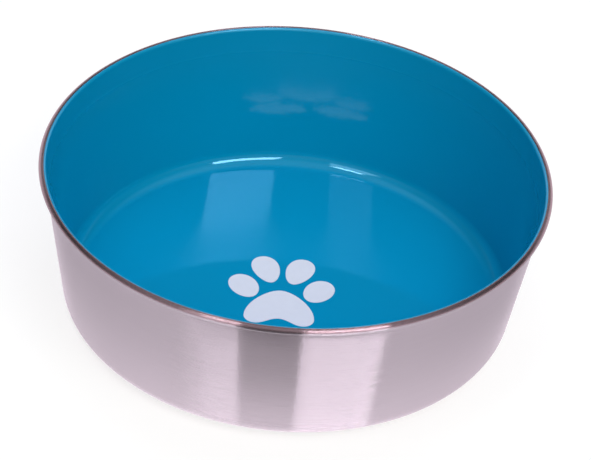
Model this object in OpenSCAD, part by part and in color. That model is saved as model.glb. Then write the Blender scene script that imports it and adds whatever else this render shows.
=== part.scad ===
// Round stainless steel dog bowl, coated inside, with a paw print on its floor
// and a rubber ring bonded under its base.
// Millimetres. The origin is the centre of the face it stands on, and +Z is up.
// The toes of the print point towards +Y.

/* [Bowl shell] */
// Outside diameter over the rolled rim
rim_d = 215; // [170:1:280]
// Height of the steel, from the underside of the base to the top of the rim
bowl_h = 66; // [40:1:110]
// Lean of the wall, outwards from upright, in degrees
wall_lean = 9; // [0:0.5:25]
// Inside radius of the corner between floor and wall
corner_r = 7; // [3:0.5:15]
// Thickness of the steel sheet
sheet_t = 0.7; // [0.5:0.05:1]

/* [Rolled rim] */
// Diameter of the bead that the rolled edge makes
bead_d = 3; // [2.6:0.1:6]
// Gap between the rolled edge and the wall behind it
seam = 0.2; // [0.1:0.05:0.5]

/* [Inner coat] */
// Thickness of the baked coat
coat_t = 0.2; // [0.1:0.05:0.3]
// Where the coat ends on the bead, in degrees back from the bead's top towards the inside
coat_stop = 20; // [18:1:60]
// Stretch over which the coat's edge thins out, in degrees round the bead
coat_feather = 10; // [4:1:20]

/* [Paw print] */
// Thickness of the print
print_t = 0.1; // [0.05:0.05:0.3]
// Place of the print's middle, to the right of the floor's centre
print_x = -2.1; // [-10:0.1:10]
// Place of the pad's top edge, behind the floor's centre
print_y = 0.1; // [-10:0.1:10]

/* [Paw pad] */
// Width of the pad
pad_w = 30; // [26:0.2:32]
// Height of the pad, from its top to the lowest point of its lobes
pad_h = 23.2; // [20:0.2:28]
// Distance from the pad's top down to its widest place
pad_widest = 18.4; // [15:0.2:19]
// Depth of the hollow between the two lobes
pad_hollow = 4; // [1:0.2:7]
// Distance between the lowest points of the two lobes
lobe_spacing = 20.4; // [16:0.2:23]

/* [Toes] */
// Length of an inner toe
inner_toe_l = 18.4; // [14:0.2:20]
// Width of an inner toe
inner_toe_w = 11.7; // [8:0.1:13]
// Lean of an inner toe, outwards from straight ahead, in degrees
inner_toe_lean = 18; // [8:1:26]
// Distance between the middles of the two inner toes
inner_toe_spacing = 14.2; // [13:0.2:17]
// Distance from the pad's top ahead to the middle of an inner toe
inner_toe_ahead = 14; // [12:0.2:18]
// Length of an outer toe
outer_toe_l = 16.2; // [12:0.2:18]
// Width of an outer toe
outer_toe_w = 12.3; // [8:0.1:13]
// Lean of an outer toe, outwards from straight ahead, in degrees
outer_toe_lean = 30; // [16:1:50]
// Distance between the middles of the two outer toes
outer_toe_spacing = 32.2; // [31:0.2:40]
// Distance from the pad's top ahead to the middle of an outer toe
outer_toe_ahead = 1.4; // [0:0.2:4]
// How much an inner toe narrows towards the pad, as a share of its width
inner_toe_taper = 0.2; // [0:0.02:0.3]
// How much an outer toe narrows towards the pad, as a share of its width
outer_toe_taper = 0.06; // [0:0.02:0.3]

/* [Anti-slip ring] */
// Width of the ring's band
ring_w = 14; // [8:0.5:24]
// Thickness of the ring
ring_t = 2; // [1.2:0.1:4]
// Distance from the end of the base's flat to the ring's outer edge
ring_inset = 3.4; // [1:0.2:10]
// Bevel on the ring's two lower edges
ring_bevel = 0.5; // [0.1:0.1:0.8]
// Number of grooves in the tread
groove_count = 2; // [0:1:4]
// Width of a groove
groove_w = 1.2; // [0.6:0.1:1.6]
// Depth of a groove
groove_depth = 0.6; // [0.2:0.1:0.9]
// Thickness of the adhesive film
glue_t = 0.15; // [0.1:0.05:0.4]
// Distance that the film stops short of the ring's edges
glue_margin = 1; // [0:0.2:3]

/* [Hidden] */
$fn = 144;
bead_r = bead_d / 2;

// Heights of the faces, from the tread up
base_z = ring_t + glue_t;
floor_z = base_z + sheet_t;
coat_z = floor_z + coat_t;
top_z = base_z + bowl_h;

// Centre of the bead's section, and of the corner's, which the wall's inner face touches both
bead_c = [rim_d / 2 - bead_r, top_z - bead_r];
corner_z = floor_z + corner_r;
corner_c = [
    bead_c.x - (corner_r + bead_r + (bead_c.y - corner_z) * sin(wall_lean)) / cos(wall_lean),
    corner_z,
];

// Angles round the bead's section: where the wall runs into it, where the coat stops,
// and where the sheet's edge comes round to the seam
wall_joins = 180 - wall_lean;
coat_ends = 90 + coat_stop;
curl_ends = -180 - wall_lean + acos((bead_r - sheet_t - seam) / bead_r);

ring_out_r = corner_c.x - ring_inset;
ring_in_r = ring_out_r - ring_w;

// Points of a round stretch about c, from one angle to another, from the numbered point on
function arc(c, r, from, to, steps, first = 0) =
    [for (i = [first : steps]) let (a = from + (to - from) * i / steps) c + r * [cos(a), sin(a)]];
corner_steps = 14;
bead_step = 9;

// Stretch of the bead at a distance inside its surface
function bead_line(depth, from, to, first = 0) =
    arc(bead_c, bead_r - depth, from, to, ceil((from - to) / bead_step), first);

// Section line over floor, corner and wall to an angle round the bead,
// at a distance outside the sheet's inner face
function wall_line(out, end) = concat(
    [[0, floor_z - out]],
    arc(corner_c, corner_r + out, -90, -wall_lean, corner_steps),
    bead_line(out, wall_joins, end)
);

// The whole section line of the steel. It has a point where the coat stops,
// so that coat and steel share their faces.
function sheet_line(out) = concat(wall_line(out, coat_ends), bead_line(out, coat_ends, curl_ends, 1));

function reversed(list) = [for (i = [len(list) - 1 : -1 : 0]) list[i]];

// Outline of a toe: an ellipse that narrows towards its lower end
function egg(l, w, taper) =
    [for (a = [0 : 5 : 355]) [w / 2 * cos(a) * (1 + taper * sin(a)), l / 2 * sin(a)]];

// Points of a curve that leaves a towards b and reaches d from c, without its last point
function curve(a, b, c, d, steps = 12) =
    [for (i = [0 : steps - 1]) let (t = i / steps, u = 1 - t)
        u^3 * a + 3 * u^2 * t * b + 3 * u * t^2 * c + t^3 * d];

// How far the pad's outline keeps its direction, as shares: at its top and in the hollow of the
// widths beside them, down the shoulder of its height, and round the lobe of the lobe's two sides
top_pull = 0.19;
shoulder_pull = 0.48;
lobe_pull = 0.55;

// Half of the pad's outline: its top, its widest place, the foot of the lobe, the hollow's top
lobe_w = (pad_w - lobe_spacing) / 2;
lobe_h = pad_h - pad_widest;
pad_top = [0, 0];
pad_side = [pad_w / 2, -pad_widest];
lobe_foot = [lobe_spacing / 2, -pad_h];
hollow_top = [0, pad_hollow - pad_h];
half_pad = concat(
    curve(pad_top, pad_top + [pad_w * top_pull, 0], pad_side + [0, pad_widest * shoulder_pull], pad_side),
    curve(pad_side, pad_side - [0, lobe_h * lobe_pull], lobe_foot + [lobe_w * lobe_pull, 0], lobe_foot),
    curve(lobe_foot, lobe_foot - [lobe_spacing * top_pull, 0],
        hollow_top + [lobe_spacing * top_pull, 0], hollow_top)
);

// Drawn steel sheet, with its edge rolled outwards into the bead
module bowl_shell() {
    color("#b8aeb6")
        rotate_extrude()
            polygon(concat(sheet_line(0), reversed(sheet_line(sheet_t))));
}

// Baked coat on the sheet's inner face, thinned out to nothing on the bead
module inner_coat() {
    color("#0088c0")
        rotate_extrude()
            polygon(concat(
                wall_line(-coat_t, coat_ends + coat_feather),
                reversed(wall_line(0, coat_ends))
            ));
}

// Puts an outline of the paw print on the coat
module printed() {
    color("#d9dcea")
        translate([print_x, print_y, coat_z])
            linear_extrude(print_t)
                children();
}

module paw_pad() {
    printed()
        polygon(concat(half_pad, [hollow_top], [for (p = reversed(half_pad)) if (p.x > 0) [-p.x, p.y]]));
}

// side is -1 on the left and 1 on the right
module inner_toe(side) {
    printed()
        translate([side * inner_toe_spacing / 2, inner_toe_ahead])
            rotate(-side * inner_toe_lean)
                polygon(egg(inner_toe_l, inner_toe_w, inner_toe_taper));
}

module outer_toe(side) {
    printed()
        translate([side * outer_toe_spacing / 2, outer_toe_ahead])
            rotate(-side * outer_toe_lean)
                polygon(egg(outer_toe_l, outer_toe_w, outer_toe_taper));
}

// Moulded rubber ring with a grooved tread
module grip_ring() {
    groove_pitch = ring_w / (groove_count + 1);
    color("#1d1d1f")
        rotate_extrude()
            difference() {
                polygon([
                    [ring_in_r, ring_t],
                    [ring_in_r, ring_bevel],
                    [ring_in_r + ring_bevel, 0],
                    [ring_out_r - ring_bevel, 0],
                    [ring_out_r, ring_bevel],
                    [ring_out_r, ring_t],
                ]);
                if (groove_count > 0)
                    for (i = [1 : groove_count])
                        translate([ring_in_r + i * groove_pitch - groove_w / 2, -1])
                            square([groove_w, 1 + groove_depth]);
            }
}

// Film that bonds the ring to the base
module ring_adhesive() {
    color("#cfc9b8")
        translate([0, 0, ring_t])
            rotate_extrude()
                translate([ring_in_r + glue_margin, 0])
                    square([ring_w - 2 * glue_margin, glue_t]);
}

bowl_shell();
inner_coat();
paw_pad();
outer_toe(-1);  // toe_outer_left
inner_toe(-1);  // toe_inner_left
inner_toe(1);  // toe_inner_right
outer_toe(1);  // toe_outer_right
ring_adhesive();
grip_ring();
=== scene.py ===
import math

import bpy
from mathutils import Matrix, Vector


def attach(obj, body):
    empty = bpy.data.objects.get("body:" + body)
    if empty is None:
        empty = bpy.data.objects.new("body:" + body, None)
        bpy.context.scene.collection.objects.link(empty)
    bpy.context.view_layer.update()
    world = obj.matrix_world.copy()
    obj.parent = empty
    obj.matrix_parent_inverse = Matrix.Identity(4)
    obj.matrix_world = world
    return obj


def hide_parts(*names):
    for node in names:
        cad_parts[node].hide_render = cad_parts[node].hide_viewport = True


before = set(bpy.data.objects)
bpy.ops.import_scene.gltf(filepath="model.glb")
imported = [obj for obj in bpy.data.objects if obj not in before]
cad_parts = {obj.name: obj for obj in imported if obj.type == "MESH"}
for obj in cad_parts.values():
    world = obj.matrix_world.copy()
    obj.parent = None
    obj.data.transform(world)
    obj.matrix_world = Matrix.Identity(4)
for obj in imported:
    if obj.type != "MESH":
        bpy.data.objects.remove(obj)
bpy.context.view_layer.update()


# Bowl shell. One sheet of 0.7 mm stainless steel, deep-drawn to a flat floor, a rounded corner and
# a wall that leans out, with its edge rolled outwards into a bead. The outside of the wall is
# brushed round while the bowl turns, and the bead is buffed. Lengths are in mm and angles in degrees.
MM = 0.001
RIM_D = 215.0
BEAD_R = 1.5
SEAM = 0.2
WALL_LEAN = 9.0
CORNER_R = 7.0
SHEET_T = 0.7
TOP_Z = 68.15
FLOOR_Z = 2.85
CURL_END = -180 - WALL_LEAN + math.degrees(math.acos((BEAD_R - SHEET_T - SEAM) / BEAD_R))
LEAN = math.radians(WALL_LEAN)
BEAD_C = (RIM_D / 2 - BEAD_R, TOP_Z - BEAD_R)
CORNER_C = (
    BEAD_C[0] - (CORNER_R + BEAD_R + (BEAD_C[1] - FLOOR_Z - CORNER_R) * math.sin(LEAN)) / math.cos(LEAN),
    FLOOR_Z + CORNER_R,
)
CORNER_STEPS = 24
BEAD_STEP = 5
STEPS_ROUND = 288
WELD = 0.001
BUFFED_FROM = 0.2


def arc(centre, radius, start, end, steps):
    """Points of a round stretch of a section, from one angle to another."""
    turns = [math.radians(start + (end - start) * i / steps) for i in range(steps + 1)]
    return [(centre[0] + radius * math.cos(t), centre[1] + radius * math.sin(t)) for t in turns]


def straight(a, b, pitch=5.0, edge=0.5):
    """Inner points of a straight stretch, with one close to each end so that the shading there stays flat."""
    length = math.dist(a, b)
    count = max(1, round((length - 2 * edge) / pitch))
    stops = [edge + (length - 2 * edge) * i / count for i in range(count + 1)]
    return [(a[0] + (b[0] - a[0]) * s / length, a[1] + (b[1] - a[1]) * s / length) for s in stops]


def sheet_face(out, end):
    """Section of the sheet's face at a distance outside its inner one, up to an angle round the bead."""
    corner = arc(CORNER_C, CORNER_R + out, -90, -WALL_LEAN, CORNER_STEPS)
    bead = arc(BEAD_C, BEAD_R - out, 180 - WALL_LEAN, end, round((180 - WALL_LEAN - end) / BEAD_STEP))
    middle = (0.0, FLOOR_Z - out)
    return [middle, *straight(middle, corner[0]), *corner, *straight(corner[-1], bead[0]), *bead]


def linear(hex_colour):
    """An sRGB hex colour as the linear colour that Blender works in."""
    parts = [int(hex_colour[i:i + 2], 16) / 255 for i in (1, 3, 5)]
    return (*[c / 12.92 if c <= 0.04045 else ((c + 0.055) / 1.055) ** 2.4 for c in parts], 1.0)


def add_node(tree, kind, settings=None, **inputs):
    """Adds a node to a tree, with its settings and with values or links on its named or numbered inputs."""
    node = tree.nodes.new(kind)
    for key, value in (settings or {}).items():
        setattr(node, key, value)
    for key, value in inputs.items():
        socket = node.inputs[int(key[1:])] if key[1:].isdigit() else node.inputs[key.replace("_", " ")]
        if isinstance(value, bpy.types.NodeSocket):
            tree.links.new(value, socket)
        else:
            socket.default_value = value
    return node


def new_material(name):
    """An empty material and its tree, with the surface's shader and output in place."""
    material = bpy.data.materials.new(name)
    material.use_nodes = True
    return material, material.node_tree, material.node_tree.nodes["Principled BSDF"]


def lathe_tree():
    """Turns a section once round Z: each point of a grid reads its section point and its turn."""
    tree = bpy.data.node_groups.new("turn_section", "GeometryNodeTree")
    face = tree.interface
    face.new_socket("Section", in_out="INPUT", socket_type="NodeSocketGeometry")
    face.new_socket("Steps round", in_out="INPUT", socket_type="NodeSocketInt").default_value = STEPS_ROUND
    face.new_socket("Finish", in_out="INPUT", socket_type="NodeSocketMaterial")
    face.new_socket("Edge finish", in_out="INPUT", socket_type="NodeSocketMaterial")
    face.new_socket("Edge from", in_out="INPUT", socket_type="NodeSocketFloat").default_value = 1.0
    face.new_socket("Turned", in_out="OUTPUT", socket_type="NodeSocketGeometry")
    given = tree.nodes.new("NodeGroupInput").outputs
    position = tree.nodes.new("GeometryNodeInputPosition").outputs[0]
    index = tree.nodes.new("GeometryNodeInputIndex").outputs[0]

    points = add_node(
        tree, "GeometryNodeAttributeDomainSize", {"component": "MESH"}, Geometry=given["Section"]
    ).outputs["Point Count"]
    turns = add_node(
        tree, "FunctionNodeIntegerMath", {"operation": "ADD"}, _0=given["Steps round"], _1=1
    ).outputs[0]
    grid = add_node(tree, "GeometryNodeMeshGrid", Size_X=1.0, Size_Y=1.0, Vertices_X=points, Vertices_Y=turns)
    station = add_node(
        tree, "FunctionNodeIntegerMath", {"operation": "DIVIDE_FLOOR"}, _0=index, _1=turns
    ).outputs[0]
    turn = add_node(tree, "FunctionNodeIntegerMath", {"operation": "MODULO"}, _0=index, _1=turns).outputs[0]
    drawn = add_node(
        tree, "GeometryNodeSampleIndex", {"data_type": "FLOAT_VECTOR"},
        Geometry=given["Section"], Value=position, Index=station,
    ).outputs[0]
    angle = add_node(
        tree, "ShaderNodeMapRange", Value=turn, From_Max=given["Steps round"], To_Max=2 * math.pi
    ).outputs[0]
    turned = add_node(tree, "ShaderNodeVectorRotate", {"rotation_type": "Z_AXIS"}, Vector=drawn, Angle=angle)
    placed = add_node(
        tree, "GeometryNodeSetPosition", Geometry=grid.outputs["Mesh"], Position=turned.outputs[0]
    )
    closed = add_node(
        tree, "GeometryNodeMergeByDistance", Geometry=placed.outputs[0], Distance=WELD * MM
    )
    smooth = add_node(tree, "GeometryNodeSetShadeSmooth", Geometry=closed.outputs[0])
    real = add_node(tree, "GeometryNodeRealizeInstances", Geometry=smooth.outputs[0])
    finished = add_node(
        tree, "GeometryNodeSetMaterial", Geometry=real.outputs[0], Material=given["Finish"]
    )
    height = add_node(tree, "ShaderNodeSeparateXYZ", Vector=position).outputs["Z"]
    above = add_node(
        tree, "ShaderNodeMath", {"operation": "GREATER_THAN"}, _0=height, _1=given["Edge from"]
    )
    edged = add_node(
        tree, "GeometryNodeSetMaterial", Geometry=finished.outputs[0],
        Selection=above.outputs[0], Material=given["Edge finish"],
    )
    result = tree.nodes.new("NodeGroupOutput")
    tree.links.new(edged.outputs[0], result.inputs[0])
    return tree


TURNED = lathe_tree()


def turned_piece(name, section, finish, **inputs):
    """A plain mesh of a section in mm that is turned round Z, with its finish."""
    mesh = bpy.data.meshes.new(name + "_section")
    edges = [(i, i + 1) for i in range(len(section) - 1)]
    mesh.from_pydata([(x * MM, 0.0, z * MM) for x, z in section], edges, [])
    drawn = bpy.data.objects.new(name + "_section", mesh)
    bpy.context.scene.collection.objects.link(drawn)
    modifier = drawn.modifiers.new("turn", "NODES")
    modifier.node_group = TURNED
    sockets = {s.name: s.identifier for s in TURNED.interface.items_tree if s.in_out == "INPUT"}
    modifier[sockets["Finish"]] = finish
    for key, value in inputs.items():
        modifier[sockets[key.replace("_", " ")]] = value
    evaluated = drawn.evaluated_get(bpy.context.evaluated_depsgraph_get())
    made = bpy.data.meshes.new_from_object(evaluated)
    made.name = name
    bpy.data.objects.remove(drawn)
    bpy.data.meshes.remove(mesh)
    piece = bpy.data.objects.new(name, made)
    bpy.context.scene.collection.objects.link(piece)
    return piece


def spun_place(tree, length, width):
    """Coordinates for marks of a length and a width in mm that run round the bowl."""
    place = tree.nodes.new("ShaderNodeTexCoord").outputs["Object"]
    flat = add_node(tree, "ShaderNodeVectorMath", {"operation": "MULTIPLY"}, _0=place, _1=(1.0, 1.0, 0.0))
    radius = add_node(tree, "ShaderNodeVectorMath", {"operation": "LENGTH"}, _0=flat.outputs[0])
    parts = add_node(tree, "ShaderNodeSeparateXYZ", Vector=place).outputs
    along = add_node(
        tree, "ShaderNodeMath", {"operation": "ADD"}, _0=radius.outputs["Value"], _1=parts["Z"]
    )
    spun = add_node(tree, "ShaderNodeCombineXYZ", X=parts["X"], Y=parts["Y"], Z=along.outputs[0])
    repeats = (1 / (length * MM), 1 / (length * MM), 1 / (width * MM))
    return add_node(
        tree, "ShaderNodeVectorMath", {"operation": "MULTIPLY"}, _0=spun.outputs[0], _1=repeats
    ).outputs[0]


def way_round(tree):
    """The direction round the bowl at each point, in which it was brushed and buffed."""
    place = tree.nodes.new("ShaderNodeTexCoord").outputs["Object"]
    return add_node(
        tree, "ShaderNodeVectorMath", {"operation": "CROSS_PRODUCT"}, _0=(0.0, 0.0, 1.0), _1=place
    ).outputs[0]


def mottle(tree, shader, place, dark, pale, **noise):
    """Gives a surface a colour that wanders between two hex tones, and returns the noise and the colour."""
    marks = add_node(tree, "ShaderNodeTexNoise", Vector=place, **noise).outputs[0]
    tone = add_node(
        tree, "ShaderNodeMix", {"data_type": "RGBA"}, _0=marks, _6=linear(dark), _7=linear(pale)
    ).outputs[2]
    tree.links.new(tone, shader.inputs["Base Color"])
    return marks, tone


# Brushed stainless steel: fine scratches that run round. Their sides face up and down, so each
# light is drawn out into an upright band that stays crisp sideways. The real scratches are 0.1 mm
# apart, and these are 0.5 mm apart so that they show. One lobe of the gloss is crisp and one broad.
SCRATCH_LENGTH = 83.3
SCRATCH_PITCH = 0.5
SCRATCH_DEPTH = 0.04
DULL_LENGTH = 167.0
DULL_PITCH = 1.11
CRISP_SHARE = 0.75
brushed, tree, shader = new_material("brushed_stainless_wall")
scratches, tone = mottle(
    tree, shader, spun_place(tree, SCRATCH_LENGTH, SCRATCH_PITCH), "#ddcdda", "#e5d5e2",
    Scale=1.0, Detail=3.0, Roughness=0.6,
)
dull = add_node(
    tree, "ShaderNodeTexNoise", Vector=spun_place(tree, DULL_LENGTH, DULL_PITCH), Scale=1.0, Detail=2.0
)
rough = add_node(
    tree, "ShaderNodeMapRange", Value=dull.outputs[0], From_Min=0.3, From_Max=0.7, To_Min=0.214, To_Max=0.22
)
dents = add_node(tree, "ShaderNodeBump", Height=scratches, Distance=SCRATCH_DEPTH * MM)
brushed_way = way_round(tree)
smear = add_node(
    tree, "ShaderNodeBsdfAnisotropic", {"distribution": "GGX"}, Color=tone, Roughness=rough.outputs[0],
    Anisotropy=1.0, Normal=dents.outputs[0], Tangent=brushed_way,
)
tree.links.new(dents.outputs[0], shader.inputs["Normal"])
tree.links.new(brushed_way, shader.inputs["Tangent"])
shader.inputs["Metallic"].default_value = 1.0
shader.inputs["Roughness"].default_value = 0.3
shader.inputs["Anisotropic"].default_value = 1.0
both = add_node(tree, "ShaderNodeMixShader", _0=CRISP_SHARE, _1=shader.outputs[0], _2=smear.outputs[0])
tree.links.new(both.outputs[0], tree.nodes["Material Output"].inputs["Surface"])

# Satin stainless steel on the upper part of the rolled bead: buffed along the bead, so lights become
# soft lines that follow it. Its marks are drawn 0.25 mm apart, coarser than real ones. Its colour is
# painted darker than the wall's steel, a painted reflection of the dark room round the bead.
BUFF_LENGTH = 25.0
BUFF_PITCH = 0.25
SATIN_SHARE = 0.9
painted_dark_satin, tree, shader = new_material("buffed_stainless_bead_painted_dark")
# These two tones are painted dark: painted reflection of the dark room, not a darker steel.
marks, tone = mottle(
    tree, shader, spun_place(tree, BUFF_LENGTH, BUFF_PITCH), "#b498a2", "#c4a8b2", Scale=1.0, Detail=2.0
)
rough = add_node(tree, "ShaderNodeMapRange", Value=marks, To_Min=0.2, To_Max=0.24)
smear = add_node(
    tree, "ShaderNodeBsdfAnisotropic", {"distribution": "GGX"}, Color=tone, Roughness=rough.outputs[0],
    Anisotropy=0.85, Tangent=way_round(tree),
)
shader.inputs["Metallic"].default_value = 1.0
shader.inputs["Roughness"].default_value = 0.4
both = add_node(tree, "ShaderNodeMixShader", _0=SATIN_SHARE, _1=shader.outputs[0], _2=smear.outputs[0])
tree.links.new(both.outputs[0], tree.nodes["Material Output"].inputs["Surface"])

inside = sheet_face(0.0, CURL_END)
outside = sheet_face(SHEET_T, CURL_END)
shell = turned_piece(
    "drawn_steel_bowl", inside + outside[::-1], brushed,
    Edge_finish=painted_dark_satin, Edge_from=(BEAD_C[1] + BEAD_R * BUFFED_FROM) * MM,
)
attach(shell, "root")
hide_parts("bowl_shell")


# Inner coat. Blue paint, sprayed on the inside of the steel and baked to a hard gloss. It runs up
# onto the bead, where its edge thins out, and leaves the top of the bead bare.
COAT_T = 0.2
COAT_END = 110.0
COAT_FEATHER = 10.0

# Baked gloss paint: sharp reflections that ripple a little, because the paint dries like an orange
# peel. The ripples are 3 mm long. High on the wall the spray lies drier, so reflections are soft.
PEEL_LENGTH = 3.03
PEEL_DEPTH = 0.02
CLOUD_LENGTH = 40.0
DRY_FROM_Z = 30.0
DRY_TO_Z = 60.0
gloss_blue, tree, shader = new_material("baked_blue_gloss_paint")
place = tree.nodes.new("ShaderNodeTexCoord").outputs["Object"]
mottle(tree, shader, place, "#0081ab", "#0084af", Scale=1 / (CLOUD_LENGTH * MM), Detail=2.0)
peel = add_node(
    tree, "ShaderNodeTexNoise", Vector=place, Scale=1 / (PEEL_LENGTH * MM), Detail=1.0, Roughness=0.4
)
ripple = add_node(tree, "ShaderNodeBump", Height=peel.outputs[0], Distance=PEEL_DEPTH * MM)
height = add_node(tree, "ShaderNodeSeparateXYZ", Vector=place).outputs["Z"]
rough = add_node(
    tree, "ShaderNodeMapRange", {"interpolation_type": "SMOOTHSTEP"}, Value=height,
    From_Min=DRY_FROM_Z * MM, From_Max=DRY_TO_Z * MM, To_Min=0.06, To_Max=0.28,
)
tree.links.new(rough.outputs[0], shader.inputs["Roughness"])
tree.links.new(ripple.outputs[0], shader.inputs["Normal"])
shader.inputs["IOR"].default_value = 1.95
shader.inputs["Specular Tint"].default_value = linear("#9cdcff")

coat_top = sheet_face(-COAT_T, COAT_END + COAT_FEATHER)
coat_under = sheet_face(0.0, COAT_END)
coat = turned_piece("blue_inner_coat", coat_top + coat_under[::-1], gloss_blue)
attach(coat, "root")
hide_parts("inner_coat")


# Paw print. Five flat patches of white ink, a pad and four toes, printed on the coat and baked.
# The CAD solids have their true outlines, so they stay. The ink is satin, and a little uneven from
# the screen that it is pressed through.
INK_PATCH = 3.33
white_ink, tree, shader = new_material("baked_white_screen_ink")
place = tree.nodes.new("ShaderNodeTexCoord").outputs["Object"]
mottle(tree, shader, place, "#c3c5d0", "#c9cbd6", Scale=1 / (INK_PATCH * MM), Detail=3.0)
shader.inputs["Roughness"].default_value = 0.35
for name in ("paw_pad", "toe_outer_left", "toe_inner_left", "toe_inner_right", "toe_outer_right"):
    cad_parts[name].material_slots[0].material = white_ink


# Ring adhesive. A thin film of clear glue that bonds the rubber ring to the steel and is cured
# between them. Its cloudy cream colour shows only where the ring is taken off.
GLUE_CLOUD = 2.5
film, tree, shader = new_material("cured_clear_adhesive")
place = tree.nodes.new("ShaderNodeTexCoord").outputs["Object"]
mottle(tree, shader, place, "#c2bba8", "#d6d0bf", Scale=1 / (GLUE_CLOUD * MM), Detail=2.0)
shader.inputs["Roughness"].default_value = 0.5
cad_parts["ring_adhesive"].material_slots[0].material = film


# Grip ring. Black rubber, moulded with two grooves in its tread, bonded under the base. Its skin is
# matt, with pores 0.4 mm apart.
PORE_PITCH = 0.4
PORE_DEPTH = 0.04
rubber, tree, shader = new_material("moulded_black_rubber")
place = tree.nodes.new("ShaderNodeTexCoord").outputs["Object"]
grain, _ = mottle(tree, shader, place, "#1a1a1c", "#262628", Scale=1 / (PORE_PITCH * MM), Detail=2.0)
pores = add_node(tree, "ShaderNodeBump", Height=grain, Distance=PORE_DEPTH * MM)
tree.links.new(pores.outputs[0], shader.inputs["Normal"])
shader.inputs["Roughness"].default_value = 0.75
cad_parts["grip_ring"].material_slots[0].material = rubber


# Table. Plain white laminate. Where the camera or a reflection sees it, most of its white is its own,
# so that the picture's background and the table in the steel are white. Close round the bowl its glow
# in reflections is painted brighter, a painted pool of light that stands for light which the steel wall
# throws down. From below, the camera sees through it.
TABLE_W = 12000.0
OWN_WHITE = 0.7
PAINTED_POOL_TO = 95.0
PLAIN_FROM = 140.0
PAINTED_POOL_LEVEL = 2.1
PLAIN_LEVEL = 1.15


def flat_sheet(name, corners, material):
    """A four-cornered sheet of the studio, which isn't part of the bowl."""
    mesh = bpy.data.meshes.new(name)
    mesh.from_pydata(corners, [], [(0, 1, 2, 3)])
    mesh.materials.append(material)
    sheet = bpy.data.objects.new(name, mesh)
    bpy.context.scene.collection.objects.link(sheet)
    return sheet


table_white, tree, shader = new_material("white_table_laminate")
shader.inputs["Base Color"].default_value = linear("#f4f4f4")
shader.inputs["Roughness"].default_value = 0.9
shader.inputs["Specular IOR Level"].default_value = 0.0
path = tree.nodes.new("ShaderNodeLightPath").outputs
place = tree.nodes.new("ShaderNodeTexCoord").outputs["Object"]
reach = add_node(tree, "ShaderNodeVectorMath", {"operation": "LENGTH"}, _0=place)
# Painted pool of light: the glow that reflections see is strongest close round the bowl and fades out.
painted_pool = add_node(
    tree, "ShaderNodeMapRange", {"interpolation_type": "SMOOTHSTEP"}, Value=reach.outputs["Value"],
    From_Min=PAINTED_POOL_TO * MM, From_Max=PLAIN_FROM * MM, To_Min=PAINTED_POOL_LEVEL, To_Max=PLAIN_LEVEL,
)
white = add_node(
    tree, "ShaderNodeMix", {"data_type": "FLOAT"}, _0=path["Is Glossy Ray"], _2=1.0, _3=painted_pool.outputs[0]
)
glow = add_node(tree, "ShaderNodeEmission", Color=(1.0, 1.0, 1.0, 1.0), Strength=white.outputs[0])
mirrored = add_node(
    tree, "ShaderNodeMath", {"operation": "MAXIMUM"}, _0=path["Is Glossy Ray"], _1=path["Is Transmission Ray"]
)
seen_white = add_node(
    tree, "ShaderNodeMath", {"operation": "MAXIMUM"}, _0=path["Is Camera Ray"], _1=mirrored.outputs[0]
)
share = add_node(
    tree, "ShaderNodeMath", {"operation": "MULTIPLY"}, _0=seen_white.outputs[0], _1=OWN_WHITE
)
lit = add_node(
    tree, "ShaderNodeMixShader", _0=share.outputs[0], _1=shader.outputs[0], _2=glow.outputs[0]
)
from_below = add_node(
    tree, "ShaderNodeMath", {"operation": "MULTIPLY"},
    _0=path["Is Camera Ray"], _1=tree.nodes.new("ShaderNodeNewGeometry").outputs["Backfacing"],
)
clear = tree.nodes.new("ShaderNodeBsdfTransparent")
seen = add_node(
    tree, "ShaderNodeMixShader", _0=from_below.outputs[0], _1=lit.outputs[0], _2=clear.outputs[0]
)
tree.links.new(seen.outputs[0], tree.nodes["Material Output"].inputs["Surface"])
half = TABLE_W * MM / 2
floor_corners = [(-half, -half, 0), (half, -half, 0), (half, half, 0), (-half, half, 0)]
floor = flat_sheet("studio_floor", floor_corners, table_white)


# Room. White where the camera looks straight at it. Reflections show it dim, a little lighter on the
# camera's side and overhead, and with a pale wall low at the back, which the bead's sides catch.
# A height here is the sine of the elevation, and a depth runs from -1 in front to 1 behind.
ROOM_FRONT = 0.3
ROOM_SIDES = 0.07
ROOM_BACK = 0.03
ROOM_TOP = 0.45
ROOM_LOW_BACK = 1.3
PALE_WALL_DEPTHS = (0.3, 0.9)
PALE_WALL_ENDS = (0.35, 0.55)
WALLS_END = (0.6, 0.8)
TOP_BEGINS = (0.7, 0.9)
world = bpy.data.worlds.new("pale_room")
bpy.context.scene.world = world
world.use_nodes = True
tree = world.node_tree
soft = {"interpolation_type": "SMOOTHSTEP"}
direction = tree.nodes.new("ShaderNodeTexCoord").outputs["Generated"]
up = add_node(tree, "ShaderNodeSeparateXYZ", Vector=direction).outputs["Z"]
level_way = add_node(
    tree, "ShaderNodeVectorMath", {"operation": "MULTIPLY"}, _0=direction, _1=(1.0, 1.0, 0.0)
)
heading = add_node(tree, "ShaderNodeVectorMath", {"operation": "NORMALIZE"}, _0=level_way.outputs[0])
depth = add_node(tree, "ShaderNodeSeparateXYZ", Vector=heading.outputs[0]).outputs["Y"]
front = add_node(
    tree, "ShaderNodeMapRange", soft, Value=depth,
    From_Min=0.0, From_Max=-1.0, To_Min=0.0, To_Max=ROOM_FRONT - ROOM_SIDES,
)
behind = add_node(
    tree, "ShaderNodeMapRange", soft, Value=depth,
    From_Min=0.0, From_Max=1.0, To_Min=ROOM_SIDES, To_Max=ROOM_BACK,
)
far_off = add_node(
    tree, "ShaderNodeMapRange", soft, Value=depth,
    From_Min=PALE_WALL_DEPTHS[0], From_Max=PALE_WALL_DEPTHS[1], To_Min=0.0, To_Max=ROOM_LOW_BACK,
)
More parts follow.
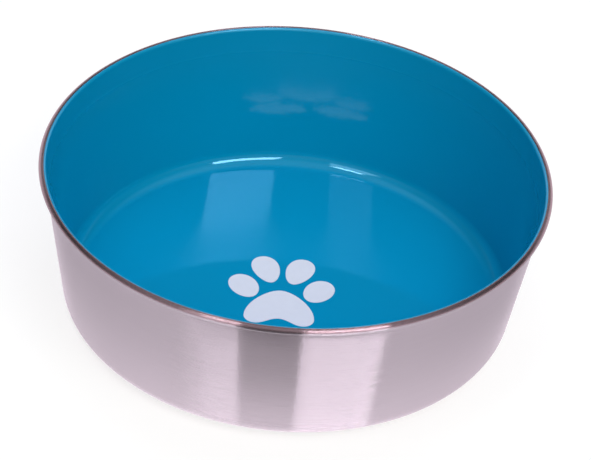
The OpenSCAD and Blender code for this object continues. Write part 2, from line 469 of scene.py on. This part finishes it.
near_table = add_node(
    tree, "ShaderNodeMapRange", soft, Value=up,
    From_Min=PALE_WALL_ENDS[0], From_Max=PALE_WALL_ENDS[1], To_Min=1.0, To_Max=0.0,
)
low = add_node(
    tree, "ShaderNodeMapRange", Value=up,
    From_Min=WALLS_END[0], From_Max=WALLS_END[1], To_Min=1.0, To_Max=0.0,
)
high = add_node(
    tree, "ShaderNodeMapRange", Value=up,
    From_Min=TOP_BEGINS[0], From_Max=TOP_BEGINS[1], To_Min=0.0, To_Max=ROOM_TOP,
)
walls = add_node(tree, "ShaderNodeMath", {"operation": "ADD"}, _0=front.outputs[0], _1=behind.outputs[0])
lower = add_node(tree, "ShaderNodeMath", {"operation": "MULTIPLY"}, _0=walls.outputs[0], _1=low.outputs[0])
pale_wall = add_node(
    tree, "ShaderNodeMath", {"operation": "MULTIPLY"}, _0=far_off.outputs[0], _1=near_table.outputs[0]
)
upper = add_node(tree, "ShaderNodeMath", {"operation": "ADD"}, _0=high.outputs[0], _1=pale_wall.outputs[0])
room = add_node(tree, "ShaderNodeMath", {"operation": "ADD"}, _0=lower.outputs[0], _1=upper.outputs[0])
path = tree.nodes.new("ShaderNodeLightPath").outputs
straight_on = add_node(
    tree, "ShaderNodeMath", {"operation": "MAXIMUM"}, _0=path["Is Camera Ray"], _1=path["Is Transmission Ray"]
)
level = add_node(
    tree, "ShaderNodeMix", {"data_type": "FLOAT"}, _0=straight_on.outputs[0], _2=room.outputs[0], _3=1.0
)
back = tree.nodes["Background"]
back.inputs["Color"].default_value = (1.0, 1.0, 1.0, 1.0)
tree.links.new(level.outputs[0], back.inputs["Strength"])


# Lamps. One softbox to the right of the camera, one to its left and a narrow, bright one above that.
# The steel draws them out into its upright bands, and the coat shows them as pale windows. Three
# large fills light the colours and leave no reflection. Each lamp is cloth that glows evenly.
LAMP_FAR = 2200.0
FILL_FAR = 3200.0
AIM_Z = 40.0


def softbox(name, first, second, radiance, colour="#ffffff", mirrored=True):
    """A flat lamp between two edges. Each edge is an elevation and the azimuths of its two ends, in
    degrees as seen from the bowl, with azimuth 0 on the camera's side."""
    ways = [(first[1], first[0]), (first[2], first[0]), (second[2], second[0]), (second[1], second[0])]
    far = (LAMP_FAR if mirrored else FILL_FAR) * MM
    aim = Vector((0.0, 0.0, AIM_Z * MM))
    corners = []
    for azimuth, elevation in ways:
        a = math.radians(azimuth)
        e = math.radians(elevation)
        way = Vector((math.sin(a) * math.cos(e), -math.cos(a) * math.cos(e), math.sin(e)))
        corners.append(aim + far * way)
    cloth, _, shader = new_material(name + "_cloth")
    shader.inputs["Base Color"].default_value = (0.0, 0.0, 0.0, 1.0)
    shader.inputs["Specular IOR Level"].default_value = 0.0
    shader.inputs["Emission Color"].default_value = linear(colour)
    shader.inputs["Emission Strength"].default_value = radiance
    lamp = flat_sheet(name, corners, cloth)
    lamp.visible_camera = False
    lamp.visible_glossy = mirrored


softbox("softbox_right", (42, 8.4, 48.4), (57, 15, 58.6), 8.8)
softbox("softbox_left", (42, -49, -18.5), (60, -51, -23.5), 2.3)
softbox("softbox_left_top", (63, -54, -27), (69, -57, -30), 13.0)
softbox("fill_front", (15, -15, 50), (50, -15, 50), 2.7, "#fff8d6", mirrored=False)
softbox("fill_top", (55, -90, 0), (55, 180, 90), 2.0, "#eef2ff", mirrored=False)
softbox("fill_back", (25, 130, 230), (50, 130, 230), 2.0, "#e0eaff", mirrored=False)


# Flag. A small dark card close in front of the steel, which makes the dark band between the two pale
# ones. Only reflections show it.
FLAG_AHEAD = 134.0
FLAG_LEFT = -28.0
FLAG_RIGHT = 12.5
FLAG_BOTTOM = 15.0
FLAG_TOP = 70.0
card_grey, _, shader = new_material("dark_grey_card")
shader.inputs["Base Color"].default_value = linear("#252525")
shader.inputs["Roughness"].default_value = 1.0
shader.inputs["Specular IOR Level"].default_value = 0.0
flag_corners = [
    (FLAG_LEFT, FLAG_BOTTOM), (FLAG_RIGHT, FLAG_BOTTOM), (FLAG_RIGHT, FLAG_TOP), (FLAG_LEFT, FLAG_TOP)
]
card = flat_sheet("dark_card", [(x * MM, -FLAG_AHEAD * MM, z * MM) for x, z in flag_corners], card_grey)
card.visible_camera = False
card.visible_diffuse = False
card.visible_shadow = False


# Camera. It stands where the photograph was taken from, 36 degrees above the rim and 1.45 m from its
# middle. It looks at the bowl through a long lens, and is tilted by 5 degrees.
FRAME_W_PX = 591
FOCAL_PX = 3481.0
SENSOR_W = 36.0
CAMERA_FAR = 1453.0
CAMERA_ELEVATION = 36.164
CAMERA_YAW = 0.0677
CAMERA_PITCH = -0.998
CAMERA_ROLL = 5.001
camera_data = bpy.data.cameras.new("camera")
camera_data.sensor_width = SENSOR_W
camera_data.lens = FOCAL_PX / FRAME_W_PX * SENSOR_W
camera = bpy.data.objects.new("camera", camera_data)
camera.matrix_world = (
    Matrix.Translation((0.0, 0.0, TOP_Z * MM))
    @ Matrix.Rotation(math.radians(90 - CAMERA_ELEVATION), 4, "X")
    @ Matrix.Translation((0.0, 0.0, CAMERA_FAR * MM))
    @ Matrix.Rotation(math.radians(-CAMERA_YAW), 4, "Y")
    @ Matrix.Rotation(math.radians(CAMERA_PITCH), 4, "X")
    @ Matrix.Rotation(math.radians(CAMERA_ROLL), 4, "Z")
)
bpy.context.scene.collection.objects.link(camera)
bpy.context.scene.camera = camera

bpy.context.scene.view_settings.view_transform = "Standard"
